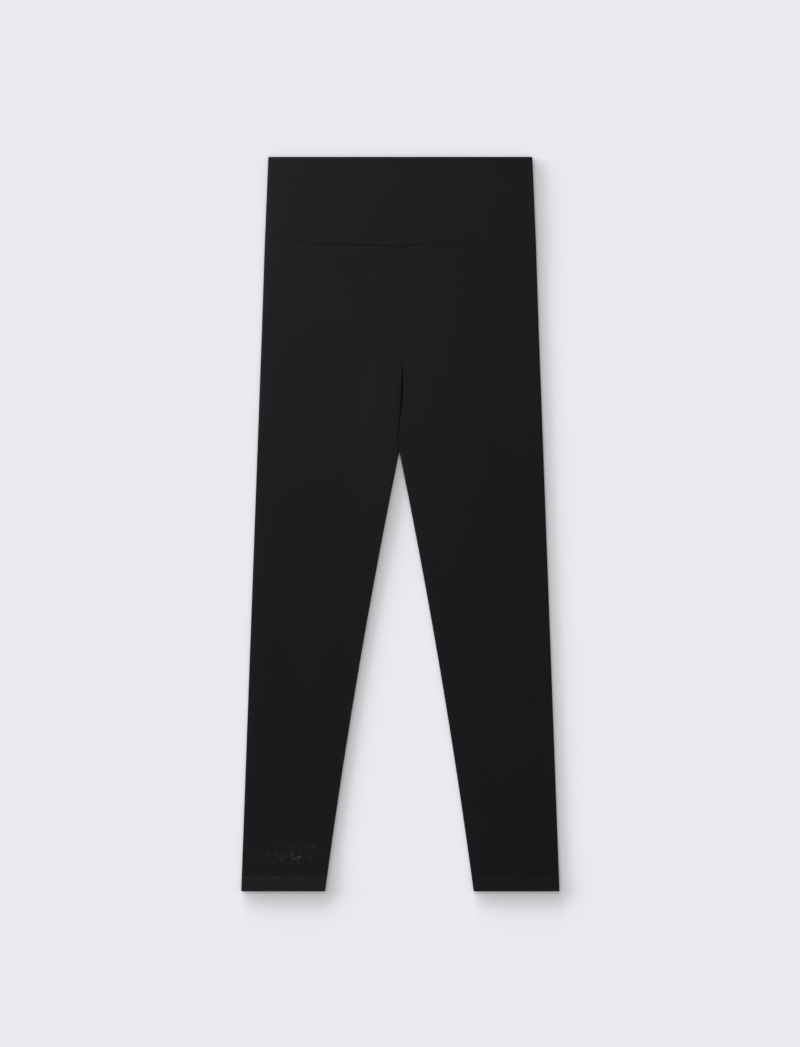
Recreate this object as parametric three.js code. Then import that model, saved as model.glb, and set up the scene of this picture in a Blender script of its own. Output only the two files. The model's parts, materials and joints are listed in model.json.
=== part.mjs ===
// Leggings laid flat with the front up: two leg panels, each wrapped round from the centre front to the
// centre back, and a high doubled waistband cut as a front and a back.
import * as THREE from "three";

// Driving dimensions, in millimetres. X runs across the garment, Y up it towards the waist, and Z up from
// the surface that it lies on. "down" is always measured below the waist edge.
const LENGTH = 920; // waist edge to hem
const WAIST_WIDTH = 331; // laid flat, along the waist edge
const HEMS_SPAN = 399; // from one outer hem corner to the other
const HEM_WIDTH = 106.5; // one leg laid flat, along its hem
const HEM_DEPTH = 17; // the turned-up hem
const FORK_DOWN = 369; // where the two legs part
const FORK_SLOPE = 0.204; // how fast each inner edge leaves the middle at the fork
const FORK_ROUND = 7; // how far past the fork the sections stay close together

// Cloth thicknesses.
const JERSEY = 1.0; // one ply of the leg
const BAND_WALL = 1.7; // the waistband, doubled
const HEM_WALL = 1.7; // the turned hem, doubled
const HEM_STEP = 3; // length over which one ply becomes two
const SEAM_GAP = 0.3; // between pieces that are sewn together

// The air between front and back. The cloth is pressed closest along the outer sides, and stands off most
// at the inner thighs, where the seams of the fork are folded in.
const BAND_SIDE_GAP = 0.7;
const BAND_GAP = 1.1;
const SIDE_GAP = 0.7;
const BODY_GAP = 1.2;
const THIGH_GAP = 2.0;
const CALF_GAP = 1.0;
const SIDE_EASE = 28; // how far in from a side its own gap reaches
const THIGH_LENGTH = 240; // how far below the fork the thigh's gap turns into the calf's

// The shape of a seam on the outside: the cloth dips softly towards it, with a groove down its middle.
const SEAM_DIP = 0.25;
const DIP_REACH = 9;
const SEAM_GROOVE = 0.3;
const GROOVE_REACH = 1.6;

// The line where the waistband meets the legs. It dips at the centre front and rises to the sides.
const BAND_SEAM = [
  { across: 0, down: 111.5 },
  { across: 20, down: 109.8 },
  { across: 50, down: 108.8 },
  { across: 90, down: 108.3 },
  { across: 120, down: 106.6 },
  { across: 145, down: 103.2 },
  { across: 172, down: 99.5 },
];

// The centre seam, and below it the slit where the two thighs lie side by side. sway is how far the line
// stands from the middle, and half is half the width of the slit, which only the front has.
const CENTRE_LINE = [
  { down: 90, sway: 1.8, half: 0.15 },
  { down: 255, sway: 2.4, half: 0.15 },
  { down: 285, sway: 2.2, half: 0.75 },
  { down: 318, sway: 0.2, half: 0.7 },
  { down: 350, sway: -2.4, half: 0.4 },
  { down: 361, sway: -2.6, half: 0.2 },
  { down: 370, sway: 0, half: 0.15 },
];

// Where the inner edge of a leg panel lifts, and where it then curls into the rounded inner thigh.
const FRONT_LIFT = { from: 236, to: 264 };
const FRONT_CURL = { from: 262, to: 290 };
const BACK_CURL = { from: 338, to: 366 };

// Soft ridges where the front stands a little off the back. across is from the middle towards the outer
// side, turn is the ridge's lean from the length of the leg, in degrees, and reach and spread are its half
// length and half width.
const RIDGES = {
  right: [
    { across: 62, down: 205, turn: 4, reach: 78, spread: 34, height: 1.1 },
    { across: 34, down: 318, turn: 9, reach: 52, spread: 13, height: 1.2 },
    { across: 96, down: 430, turn: -6, reach: 95, spread: 30, height: 1.1 },
    { across: 104, down: 640, turn: 5, reach: 80, spread: 22, height: 1.0 },
    { across: 142, down: 800, turn: -4, reach: 70, spread: 20, height: 0.9 },
  ],
  left: [
    { across: 74, down: 185, turn: -5, reach: 66, spread: 36, height: 1.0 },
    { across: 37, down: 306, turn: 12, reach: 46, spread: 14, height: 1.0 },
    { across: 88, down: 455, turn: 3, reach: 90, spread: 28, height: 1.0 },
    { across: 116, down: 610, turn: -5, reach: 84, spread: 24, height: 1.1 },
    { across: 138, down: 775, turn: 4, reach: 64, spread: 21, height: 0.9 },
  ],
};

// How finely a section is drawn: along a curled edge, over the front, round a folded side, under the back.
const CURL_STEPS = 3;
const FRONT_STEPS = 11;
const FOLD_STEPS = 6;
const BACK_STEPS = 5;

// Where the sections of the waistband lie, as shares of its depth, closest together by the seam.
const BAND_ROWS = [0, 0.2, 0.4, 0.6, 0.8, 0.9, 0.96, 0.985, 1];

const CLOTH = new THREE.MeshStandardMaterial({ color: 0x1f2022, roughness: 0.85, metalness: 0 });
const BAND_CLOTH = new THREE.MeshStandardMaterial({ color: 0x202123, roughness: 0.8, metalness: 0 });

const { clamp, degToRad, lerp, smoothstep } = THREE.MathUtils;

// One column of a table read against another, between its rows as the kind of interpolant says.
function columnOf(table, from, to, Interpolant) {
  const places = new Float32Array(table.map((row) => row[from]));
  const values = new Float32Array(table.map((row) => row[to]));
  const column = new Interpolant(places, values, 1, new Float32Array(1));
  return (at) => column.evaluate(clamp(at, places[0], places[places.length - 1]))[0];
}

const bandSeamOf = columnOf(BAND_SEAM, "across", "down", THREE.CubicInterpolant);
const swayAt = columnOf(CENTRE_LINE, "down", "sway", THREE.LinearInterpolant);
const halfSlitAt = columnOf(CENTRE_LINE, "down", "half", THREE.LinearInterpolant);
const bandSeamDown = (x) => bandSeamOf(Math.abs(x));
const bell = (distance, reach) => Math.exp(-((distance / reach) ** 2));
const seamShape = (distance) =>
  -SEAM_DIP * bell(distance, DIP_REACH) - SEAM_GROOVE * bell(distance, GROOVE_REACH);

// Where the columns of a section lie between the middle and the outer fold. The legs and the waistband
// share them, so that both edges of the seam between them have the same corners.
const frontShare = (k) => (1 - Math.cos((Math.PI * k) / FRONT_STEPS)) / 2;
const backShare = (k) => k / BACK_STEPS;

// The outer side is one straight line from waist to hem.
function outerEdge(down) {
  return lerp(WAIST_WIDTH / 2, HEMS_SPAN / 2, down / LENGTH);
}

// The inner side of a leg, measured outwards from the middle. side is -1 on the wearer's right.
function innerEdge(down, side, halfSlit) {
  const below = Math.max(0, down - FORK_DOWN);
  const legLength = LENGTH - FORK_DOWN;
  const atHem = HEMS_SPAN / 2 - HEM_WIDTH;
  const bend = (atHem - FORK_SLOPE * legLength) / legLength ** 2;
  return side * swayAt(down) + halfSlit + FORK_SLOPE * below + bend * below ** 2;
}

function legWall(down) {
  const hemTop = LENGTH - HEM_DEPTH;
  return lerp(JERSEY, HEM_WALL, smoothstep(down, hemTop - HEM_STEP / 2, hemTop + HEM_STEP / 2));
}

function ridgesAt(ridges, across, down) {
  let lifted = 0;
  for (const ridge of ridges) {
    const lean = degToRad(ridge.turn);
    const dx = across - ridge.across;
    const dy = down - ridge.down;
    const along = dy * Math.cos(lean) + dx * Math.sin(lean);
    const beside = dx * Math.cos(lean) - dy * Math.sin(lean);
    lifted += ridge.height * bell(along, ridge.reach) * bell(beside, ridge.spread);
  }
  return lifted;
}

// The end of a layer, some way along it from where it starts to curl: it runs straight, and then turns on
// a radius until it has turned by curl times the full angle. Gives how far it has gone inwards and across
// the thickness, and its slope.
function curlPoint(share, curl, radius) {
  const fullTurn = Math.PI / 2 - SEAM_GAP / 2 / radius;
  const path = share * fullTurn * radius;
  const straight = (1 - curl) * fullTurn * radius;
  const turned = Math.max(0, path - straight) / radius;
  return {
    inwards: Math.min(path, straight) + radius * Math.sin(turned),
    through: radius * (1 - Math.cos(turned)),
    turned,
  };
}

// One section across a leg panel, as points of its outer surface with the outward direction at each: from
// the centre front, over the front, round the outer side, under the back, to the centre back.
function legSection(down, seamDistance, side) {
  const wall = legWall(down);
  const innerGap = lerp(THIGH_GAP, CALF_GAP, smoothstep(down, FORK_DOWN, FORK_DOWN + THIGH_LENGTH));
  const outerRadius = wall + (SIDE_GAP + seamShape(seamDistance)) / 2;
  const innerRadius = wall + innerGap / 2;
  const foldStart = outerEdge(down) - outerRadius;
  const frontInner = innerEdge(down, side, halfSlitAt(down));
  const backInner = innerEdge(down, side, SEAM_GAP / 2);
  const lift = smoothstep(down, FRONT_LIFT.from, FRONT_LIFT.to);
  const frontCurl = smoothstep(down, FRONT_CURL.from, FRONT_CURL.to);
  const backCurl = smoothstep(down, BACK_CURL.from, BACK_CURL.to);
  const frontStart = frontInner + curlPoint(1, frontCurl, innerRadius).inwards;
  const backStart = backInner + curlPoint(1, backCurl, innerRadius).inwards;
  const ridges = side < 0 ? RIDGES.right : RIDGES.left;

  function frontHeight(across) {
    const outerFold = bell(foldStart - across, SIDE_EASE);
    const innerFold = lift * bell(Math.max(0, across - frontStart), SIDE_EASE);
    const free = (1 - outerFold) * (1 - innerFold);
    const centreSeam = (1 - lift) * seamShape(across - frontInner) * (1 - bell(seamDistance, DIP_REACH));
    const ridgeHeight = free * ridgesAt(ridges, across, down) * (1 - bell(seamDistance, SIDE_EASE));
    const gap = outerFold * SIDE_GAP + innerFold * innerGap + free * BODY_GAP;
    return 2 * wall + gap + seamShape(seamDistance) + centreSeam + ridgeHeight;
  }

  const points = [];
  for (let k = CURL_STEPS; k >= 0; k--) {
    const { inwards, through, turned } = curlPoint(k / CURL_STEPS, frontCurl, innerRadius);
    const across = frontStart - inwards;
    points.push({
      across,
      z: frontHeight(across) - through,
      out: [-Math.sin(turned), Math.cos(turned)],
    });
  }
  for (let k = 1; k < FRONT_STEPS; k++) {
    const across = lerp(frontStart, foldStart, frontShare(k));
    points.push({ across, z: frontHeight(across), out: [0, 1] });
  }
  for (let k = 0; k <= FOLD_STEPS; k++) {
    const turn = (Math.PI * k) / FOLD_STEPS;
    points.push({
      across: foldStart + outerRadius * Math.sin(turn),
      z: outerRadius * (1 + Math.cos(turn)),
      out: [Math.sin(turn), Math.cos(turn)],
    });
  }
  for (let k = BACK_STEPS - 1; k > 0; k--)
    points.push({ across: lerp(backStart, foldStart, backShare(k)), z: 0, out: [0, -1] });
  for (let k = 0; k <= CURL_STEPS; k++) {
    const { inwards, through, turned } = curlPoint(k / CURL_STEPS, backCurl, innerRadius);
    points.push({
      across: backStart - inwards,
      z: through,
      out: [-Math.sin(turned), -Math.cos(turned)],
    });
  }
  return points.map((p) => ({ ...p, wall }));
}

// One section across the waistband, seen as the front (face 1) or the back (face -1), from one side seam
// to the other. The side seams lie halfway up the folded sides.
function bandSection(down, seamDistance, face) {
  const radius = BAND_WALL + (BAND_SIDE_GAP + seamShape(seamDistance)) / 2;
  const foldStart = outerEdge(down) - radius;
  const quarter = Math.PI / 2 - SEAM_GAP / 2 / radius;
  const side = [];
  for (let k = 0; k < FOLD_STEPS / 2; k++) {
    const turn = quarter * (1 - (2 * k) / FOLD_STEPS);
    side.push({
      across: foldStart + radius * Math.sin(turn),
      z: radius + face * radius * Math.cos(turn),
      out: [Math.sin(turn), face * Math.cos(turn)],
    });
  }
  const [steps, shareAt] = face > 0 ? [FRONT_STEPS, frontShare] : [BACK_STEPS, backShare];
  const middle = [];
  for (let k = -steps; k <= steps; k++) {
    const across = Math.sign(k) * shareAt(Math.abs(k)) * foldStart;
    const folded = bell(foldStart - Math.abs(across), SIDE_EASE);
    const gap = lerp(BAND_GAP, BAND_SIDE_GAP, folded) + seamShape(seamDistance);
    middle.push({ across, z: face > 0 ? 2 * BAND_WALL + gap : 0, out: [0, face] });
  }
  const mirrored = side.map((p) => ({ ...p, across: -p.across, out: [-p.out[0], p.out[1]] }));
  return [...mirrored, ...middle, ...side.reverse()].map((p) => ({ ...p, wall: BAND_WALL }));
}

// A closed wall through a list of sections: each row is the outer surface and, a wall's thickness in, the
// inner one, and a rim joins them along the four edges.
function wallGeometry(rows, side = 1) {
  const across = rows[0].length;
  const down = rows.length;
  const positions = [];
  for (const depth of [0, 1])
    for (const row of rows)
      for (const p of row)
        positions.push(
          side * (p.across - depth * p.wall * p.out[0]),
          LENGTH / 2 - p.down,
          p.z - depth * p.wall * p.out[1],
        );
  const index = [];
  const at = (layer, i, j) => (layer * down + i) * across + j;
  const quad = (a, b, c, d) => index.push(...(side > 0 ? [a, b, c, a, c, d] : [a, c, b, a, d, c]));
  for (let i = 0; i + 1 < down; i++)
    for (let j = 0; j + 1 < across; j++) {
      quad(at(0, i, j), at(0, i + 1, j), at(0, i + 1, j + 1), at(0, i, j + 1));
      quad(at(1, i, j), at(1, i, j + 1), at(1, i + 1, j + 1), at(1, i + 1, j));
    }
  for (let j = 0; j + 1 < across; j++) {
    quad(at(0, 0, j), at(0, 0, j + 1), at(1, 0, j + 1), at(1, 0, j));
    quad(at(0, down - 1, j), at(1, down - 1, j), at(1, down - 1, j + 1), at(0, down - 1, j + 1));
  }
  for (let i = 0; i + 1 < down; i++) {
    quad(at(0, i, 0), at(1, i, 0), at(1, i + 1, 0), at(0, i + 1, 0));
    quad(at(0, i, across - 1), at(0, i + 1, across - 1), at(1, i + 1, across - 1), at(1, i, across - 1));
  }
  const geometry = new THREE.BufferGeometry();
  geometry.setAttribute("position", new THREE.Float32BufferAttribute(positions, 3));
  geometry.setIndex(index);
  geometry.computeVertexNormals();
  return geometry;
}

// Places down a leg panel for its sections, close together where the shape changes fast.
function legPlaces(top) {
  const hemTop = LENGTH - HEM_DEPTH;
  const forkEnd = FORK_DOWN + FORK_ROUND;
  const places = [top];
  for (const { to, steps } of [
    { to: top + 2 * GROOVE_REACH, steps: 3 },
    { to: top + 2 * DIP_REACH, steps: 3 },
    { to: FRONT_LIFT.from, steps: 3 },
    { to: FRONT_CURL.to, steps: 8 },
    { to: BACK_CURL.from, steps: 3 },
    { to: forkEnd, steps: 6 },
    { to: hemTop - HEM_STEP, steps: 12 },
    { to: hemTop + HEM_STEP, steps: 4 },
    { to: LENGTH, steps: 1 },
  ]) {
    const from = places[places.length - 1];
    for (let k = 1; k <= steps; k++) places.push(lerp(from, to, k / steps));
  }
  return places;
}

// A leg panel. Its top edge follows the waistband seam, and that curve fades out down the hip.
function legPanel(side) {
  const seamMiddle = bandSeamDown(0) + SEAM_GAP / 2;
  const rows = legPlaces(seamMiddle).map((place) => {
    const follow = 1 - smoothstep(place, seamMiddle, FRONT_LIFT.from);
    return legSection(place, place - seamMiddle, side).map((p) => ({
      ...p,
      down: place + follow * (bandSeamDown(p.across) - bandSeamDown(0)),
    }));
  });
  return wallGeometry(rows, side);
}

// A waistband panel, from the straight waist edge to the curved seam.
function bandPanel(face) {
  const deepest = bandSeamDown(0);
  const rows = BAND_ROWS.map((share) =>
    bandSection(share * deepest, (1 - share) * deepest, face).map((p) => ({
      ...p,
      down: share * (bandSeamDown(p.across) - SEAM_GAP / 2),
    })),
  );
  return wallGeometry(face > 0 ? rows : rows.map((row) => row.reverse()));
}

const leggings = new THREE.Group();
for (const [name, geometry, material] of [
  ["waistband_front", bandPanel(1), BAND_CLOTH],
  ["waistband_back", bandPanel(-1), BAND_CLOTH],
  ["leg_right", legPanel(-1), CLOTH],
  ["leg_left", legPanel(1), CLOTH],
]) {
  const piece = new THREE.Mesh(geometry, material);
  piece.name = name;
  leggings.add(piece);
}

export default leggings;
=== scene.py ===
# High-waisted leggings laid flat with the front up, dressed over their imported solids: two knitted leg
# panels with turned and stitched hems, and a doubled waistband. Lengths in tables are in millimetres.
import json
import math
from collections import namedtuple

import bmesh
import bpy
from bpy.props import FloatProperty, FloatVectorProperty, PointerProperty
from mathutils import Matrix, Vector, noise

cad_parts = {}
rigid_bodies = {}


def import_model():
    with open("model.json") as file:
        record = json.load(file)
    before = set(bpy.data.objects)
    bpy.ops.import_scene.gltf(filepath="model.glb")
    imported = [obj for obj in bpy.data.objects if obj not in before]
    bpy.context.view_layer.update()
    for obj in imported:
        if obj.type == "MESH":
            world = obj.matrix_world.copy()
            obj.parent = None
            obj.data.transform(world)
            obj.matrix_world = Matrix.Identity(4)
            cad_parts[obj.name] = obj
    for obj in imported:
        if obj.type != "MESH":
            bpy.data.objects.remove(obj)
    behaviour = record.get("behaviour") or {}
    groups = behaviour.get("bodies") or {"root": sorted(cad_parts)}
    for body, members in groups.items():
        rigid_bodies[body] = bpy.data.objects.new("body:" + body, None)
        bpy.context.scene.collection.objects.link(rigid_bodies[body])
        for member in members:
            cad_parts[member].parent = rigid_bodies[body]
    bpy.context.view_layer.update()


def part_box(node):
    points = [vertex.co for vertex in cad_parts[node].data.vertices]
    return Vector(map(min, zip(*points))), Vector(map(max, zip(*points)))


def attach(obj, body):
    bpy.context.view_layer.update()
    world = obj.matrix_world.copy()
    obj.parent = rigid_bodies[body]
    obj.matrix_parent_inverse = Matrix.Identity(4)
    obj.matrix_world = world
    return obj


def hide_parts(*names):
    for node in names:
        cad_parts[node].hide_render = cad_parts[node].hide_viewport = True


bl_info = {
    "name": "Leggings laid flat",
    "version": (1, 0, 0),
    "blender": (4, 5, 0),
    "location": "3D View > Sidebar > Leggings",
    "description": "Builds high-waisted leggings laid flat, in knitted cloth with stitched hems",
    "category": "Add Mesh",
}

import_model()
BAND_BOX, RIGHT_BOX, LEFT_BOX = (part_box(node) for node in ("waistband_front", "leg_right", "leg_left"))

MM = 0.001

# Walls as the solids have them. Between two layers of them is air.
JERSEY = 1.0  # one ply of the leg
BAND_WALL = 1.7  # the doubled waistband
HEM_WALL = 1.7  # the turned hem
SEAM_BULK = 0.62  # what the seam allowance adds just below the waistband
SEAM_BULK_REACH = 42
HEM_LEAD = 45  # how far above the hem the leg starts to rise onto it
HEM_LEAD_SHARE = 0.65  # the share of the rise that is gained there, and the rest is at the hem's edge
HEM_RISE = 1.5  # half the length of that last rise

# The air between front and back.
BAND_SIDE_GAP = 0.5
BAND_GAP = 1.1
SIDE_GAP = 1.35
SEAM_SIDE_GAP = 0.85  # the same at the waistband seam and at the hem
BODY_GAP = 1.2
THIGH_GAP = 2.0
CALF_GAP = 1.0
SIDE_EASE = 28  # how far in from a side its own gap reaches
SIDE_SHOULDER = 7  # the nearer part of that, which rounds the shoulder of the fold
SIDE_FLATNESS = 1.6  # how much wider than high the folded side is
SIDE_ROUNDS = (16, 2)  # above the turned hem, where the side becomes as high as wide
THIGH_LENGTH = 240

# Seams: the cloth dips softly towards the line, and each edge rolls in and meets the other.
SEAM_DIP = 0.25
DIP_REACH = 8
SEAM_GROOVE = 0.45
GROOVE_REACH = 2.0
SIDE_SEAM = 0.15  # what is left of that shape at the folded sides
SIDE_SEAM_EASE = 50
CENTRE_DIP = 0.1  # the centre seam's shape, as a share of the waistband seam's
ROLL = 0.5  # radius of a rolled edge
CENTRE_ROLL = 0.08
SIDE_ROLL = 0.4  # share of its radius that the waistband seam's roll keeps at the folded sides
ROLL_STEPS = ((90, 0.5), (90, 0), (60, 0), (30, 0))  # turn in degrees, and straight run after it
FLAT_STEP = 0.12  # the spacing of the same points in an edge that isn't rolled
SEAM_SLACK = -0.01  # half the gap in a closed seam, whose two edges press together
THIN_EDGE = 0.4  # share of the ply's thickness that a rolled edge keeps
THIN_REACH = 2.0

# A cloth fold, at the waist edge and at the hems.
FOLD_RADIUS = 0.88
FOLD_STEPS = 8

# The line where the waistband meets the legs: from the middle towards the viewer's right, and down from
# the waist edge.
BAND_SEAM = (
    *((-172, 102.0), (-152, 104.9), (-122, 108.6), (-82, 110.2), (-45, 110.9), (-10, 112.0), (2, 112.7)),
    *((18, 110.7), (34, 109.3), (68, 109.2), (106, 108.2), (126, 106.0), (149, 101.8), (172, 100.2)),
)

# How wide the front of that seam gapes, from the middle towards the viewer's right.
SEAM_GAPE = (
    *((-150, 0.0), (-138, 0.1), (-70, 0.06), (-58, 0.54), (-30, 0.42), (6, 0.5)),
    *((34, 0.16), (80, 0.08), (118, 0.17), (132, 0.06), (150, 0.0)),
)
GAPE_REACH = 4

# The centre seam and the slit below it, by the way down from the waist edge: how far the line stands from
# the middle, and half the slit's width.
SWAY = (
    *((90, 1.8), (255, 2.9), (280, 2.75), (296, 2.45)),
    *((317, 0.65), (336, -1.05), (355, -2.5), (370, -1.2)),
)
HALF_SLIT = (
    *((90, 0), (252, 0), (267, 0.4), (282, 0.8), (296, 0.85)),
    *((312, 0.5), (334, 0.2), (348, 0.06), (370, 0)),
)

# Where the front of the thigh lifts, and where each inner edge curls into the rounded inner thigh.
FRONT_LIFT = (236, 264)
FRONT_CURL = (262, 290)
BACK_CURL = (338, 366)

# Soft shapes of the front: out from the middle, down, lean from the leg's length in degrees, half length,
# half width, height. A negative height is a trough.
RIGHT_FRONT = (
    (62, 205, 4, 78, 34, 1.1),
    (34, 318, 9, 52, 13, 1.2),
    (96, 430, -6, 95, 30, 1.1),
    (104, 640, 5, 80, 22, 1.0),
    (142, 800, -4, 70, 20, 0.9),
    (5, 300, 2, 46, 7, 0.5),
    (21, 352, 38, 17, 4.5, 0.22),
    (30, 392, 24, 26, 5, -0.2),
    (44, 372, 52, 22, 6, 0.16),
    (128, 168, -22, 42, 9, -0.2),
    (104, 262, -9, 55, 11, 0.2),
    (131, 372, -4, 70, 12, -0.22),
    (64, 505, -13, 58, 9, 0.2),
    (92, 560, 8, 46, 10, -0.24),
    (122, 716, -3, 60, 9, 0.2),
    (116, 842, 12, 30, 8, -0.18),
    (158, 862, -14, 26, 8, 0.16),
    (40, 146, 64, 26, 8, -0.12),
)
LEFT_FRONT = (
    (74, 185, -5, 66, 36, 1.0),
    (37, 306, 12, 46, 14, 1.0),
    (88, 455, 3, 90, 28, 1.0),
    (116, 610, -5, 84, 24, 1.1),
    (138, 775, 4, 64, 21, 0.9),
    (7, 322, 3, 30, 6, 0.2),
    (24, 360, 33, 19, 4.5, 0.2),
    (36, 402, 18, 30, 6, -0.2),
    (52, 366, 61, 18, 6, 0.14),
    (138, 204, 12, 50, 10, -0.2),
    (112, 300, 7, 48, 11, 0.18),
    (126, 408, 3, 64, 11, -0.2),
    (70, 530, -9, 50, 9, 0.22),
    (102, 540, 14, 40, 9, -0.2),
    (134, 692, 4, 66, 10, -0.22),
    (112, 800, -9, 34, 8, 0.2),
    (164, 846, 6, 36, 8, -0.15),
    (58, 150, -58, 24, 8, -0.12),
)

# Shallow creases under the back, which only lift off the surface.
RIGHT_BACK = (
    (26, 356, 40, 24, 6, 0.5),
    (48, 384, 57, 26, 7, 0.4),
    (78, 250, -8, 74, 13, 0.45),
    (112, 470, 5, 66, 12, 0.5),
    (104, 668, -6, 58, 11, 0.4),
    (138, 806, 9, 44, 10, 0.35),
)
LEFT_BACK = (
    (30, 362, 36, 20, 6, 0.45),
    (54, 378, 62, 24, 7, 0.4),
    (90, 232, 9, 64, 13, 0.4),
    (104, 452, -7, 72, 12, 0.45),
    (120, 640, 4, 50, 11, 0.45),
    (146, 788, -8, 48, 10, 0.35),
)

# The same for the waistband, from the middle towards the viewer's right.
BAND_FRONT = (
    (-118, 40, 8, 30, 12, 0.14),
    (-66, 74, -12, 26, 14, -0.12),
    (-20, 46, 5, 34, 13, 0.1),
    (38, 66, 16, 24, 12, -0.12),
    (84, 34, -6, 32, 14, 0.12),
    (132, 62, 10, 30, 11, -0.14),
)
BAND_BACK = (
    (-96, 52, -9, 32, 13, 0.3),
    (-12, 60, 6, 30, 12, 0.25),
    (72, 46, 10, 34, 14, 0.3),
)

# How far from an edge or a seam the soft shapes have their full height.
CALM_BY_FOLD = 14
CALM_BY_CENTRE = (-3, 4)  # beside the centre: where they start, and where they are full
CALM_UNDER = (22, 16)  # under the back: from the outer fold, and from the inner edge
CALM_BY_HEM = 30
HEM_KEEPS = 0.3  # the share of their height that the front's have on the hem itself
CALM_BY_BAND_SEAM = 20
CALM_BY_WAIST = 16  # on the waistband's back

# The elastic in the waist edge draws the cloth into faint upright ripples, unevenly.
RIPPLE_PITCH = 11.5
RIPPLE_HEIGHT = 0.07
RIPPLE_REACH = 26
RIPPLE_STRENGTH = (0.6, 0.8)  # its mean, and what the noise adds or takes away
RIPPLE_PATCH = (37, 60)  # size of the noise, across and down
RIPPLE_SEED = 5.1

# Twin rows of stitches round each hem, above its edge.
STITCH_ROWS = (17.0, 12.0)
STITCH_LENGTH = 2.3
STITCH_PITCH = 2.75
STITCH_GROOVE = 0.16
STITCH_GROOVE_REACH = 0.75
STITCH_SUNK = 0.02  # how far a stitch's middle lies below the floor of its groove
STITCH_LEAN = 0.12
STITCH_SEED = 1.7
STITCH_FACETS = (8, 7)
THREAD = 0.36
HEM_PUCKER = 0.05
HEM_PUCKER_PITCH = 8
HEM_PUCKER_REACH = 6  # how far above the turned hem the pucker starts
HEM_PUCKER_SEED = (3.7, 0.5)
HEM_SHOWS = 1.6  # how far above its own edge the turned ply shows through

# Where lint lies on the wearer's right leg, in metres: the middle of a patch, its half sizes and its turn
# in degrees. Then the flecks: their turn, stretch, number to a metre, and the share that is left out.
LINT_PATCH = ((-0.139, -0.414), (0.056, 0.018), 11)
LINT_ON_HEM = ((-0.146, -0.4427), (0.07, 0.0022), 0)
LINT_ON_HEM_SHARE = 0.5
LINT_FLECKS = (
    (27, (1.0, 0.4, 1.0), 880, 0.42),
    (-58, (0.4, 1.0, 1.0), 790, 0.45),
    (-15, (0.6, 1.0, 1.0), 470, 0.66),
)
FLECK_RIM = (0.36, 0.08)  # from its middle, as a share of its cell: where it ends, and where it is full
FLECK_FULL = 0.97  # the same draw that leaves flecks out makes those above this the strongest
LINT_CLUMPS = (120, 0.44, 0.58)  # number to a metre, and the noise at which they start and are full
LINT_HAZE = 0.02
LINT_MOST = 0.5
FRONT_FROM = (0.002, 0.003)  # heights in metres: only the front above them has lint

# Painted highlight, as a share of the colour: along the folded sides and the folds at the waist edge and
# the hems, strongest on the side towards the softbox, and in soft patches written as the soft shapes are,
# over the thighs, with a plain lightening round the wearer's right hem. A leg's outer edge comes first, and
# on the waistband the wearer's right side.
RIGHT_RIM_HIGHLIGHTS = (0.34, 0.2)
LEFT_RIM_HIGHLIGHTS = (0.08, 0.26)
BAND_RIM_HIGHLIGHTS = (0.24, 0.2)
RIGHT_HIGHLIGHT_PATCHES = ((36, 300, 4, 125, 38, 0.17), (82, 560, 10, 120, 26, 0.08), (140, 880, 0, 60, 70, 0.17))
LEFT_HIGHLIGHT_PATCHES = ((24, 270, 0, 120, 42, 0.11),)
RIM_HIGHLIGHT_FALLOFF = ((0.6, 5), (0.4, 16))  # share and reach
INNER_RIM = (20, 10)  # above and below the fork, where a leg's inner rim comes in
FOLD_HIGHLIGHT = 0.4  # along the fold at the waist edge and at the hems
FOLD_HIGHLIGHT_REACH = 1.6

# The jersey's surface. A shade is a share of the colour, and a scale is a number to a metre.
MOTTLE_SCALE = 22
MOTTLE_SHADE = 0.28
MOTTLE_ROUGHNESS = 0.08
FIBRE_SCALE = 900
FIBRE_STRETCH = (1.0, 0.12, 1.0)
FIBRE_SHADE = 0.3
FIBRE_RELIEF = 0.35  # as a share of the knit's own
LOOP_SLANT = 1.3
LOOP_SHARE = 0.3  # how much of a rib's height its loops take
# painted shade in the knit's hollows and painted highlight on its ribs, by the relief's height
KNIT_PAINTED_SHADE = 0.25
KNIT_MEAN = 0.6  # the relief's height that keeps the plain colour
KNIT_BUMP = 0.5
PRESSED_FROM = (-0.0012, 0.0008)  # metres along the cloth, round the line where the pressed hem starts
PRESSED_ROUGHNESS = -0.06
SHEEN_ROUGHNESS = 0.45
NOISE_ROUGHNESS = 0.55

# The thread's twist and the paper's grain.
TWIST_SCALE = 2600
TWIST_SHADE = 0.7
TWIST_ROUGHNESS = (0.5, 0.12)
THREAD_GLOSS = 0.12
GRAIN_SCALE = 600
GRAIN_SHADE = 0.01
PAPER_ROUGHNESS = 0.95

# The studio, in metres. The low lamps light the paper alone, and tint it where their shadow doesn't fall.
FLOOR_HALF = 15
FLOOR_DROP = 0.00015  # below the cloth, so that they never share a plane
SKY_COLOUR = (1, 0.998, 1.0, 1)
LAMP_ROW = (-1, -0.33, 0.33, 1)  # places along the row, as shares of its spread
LAMP_COLOUR = (0.981, 0.921, 1.0)
SOFTBOX_SIZE = 0.5
SOFTBOX_PLACE = (-0.7, 0.75, 0.75)
CAMERA_PLACE = (-0.0004, 0.0008)

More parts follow.
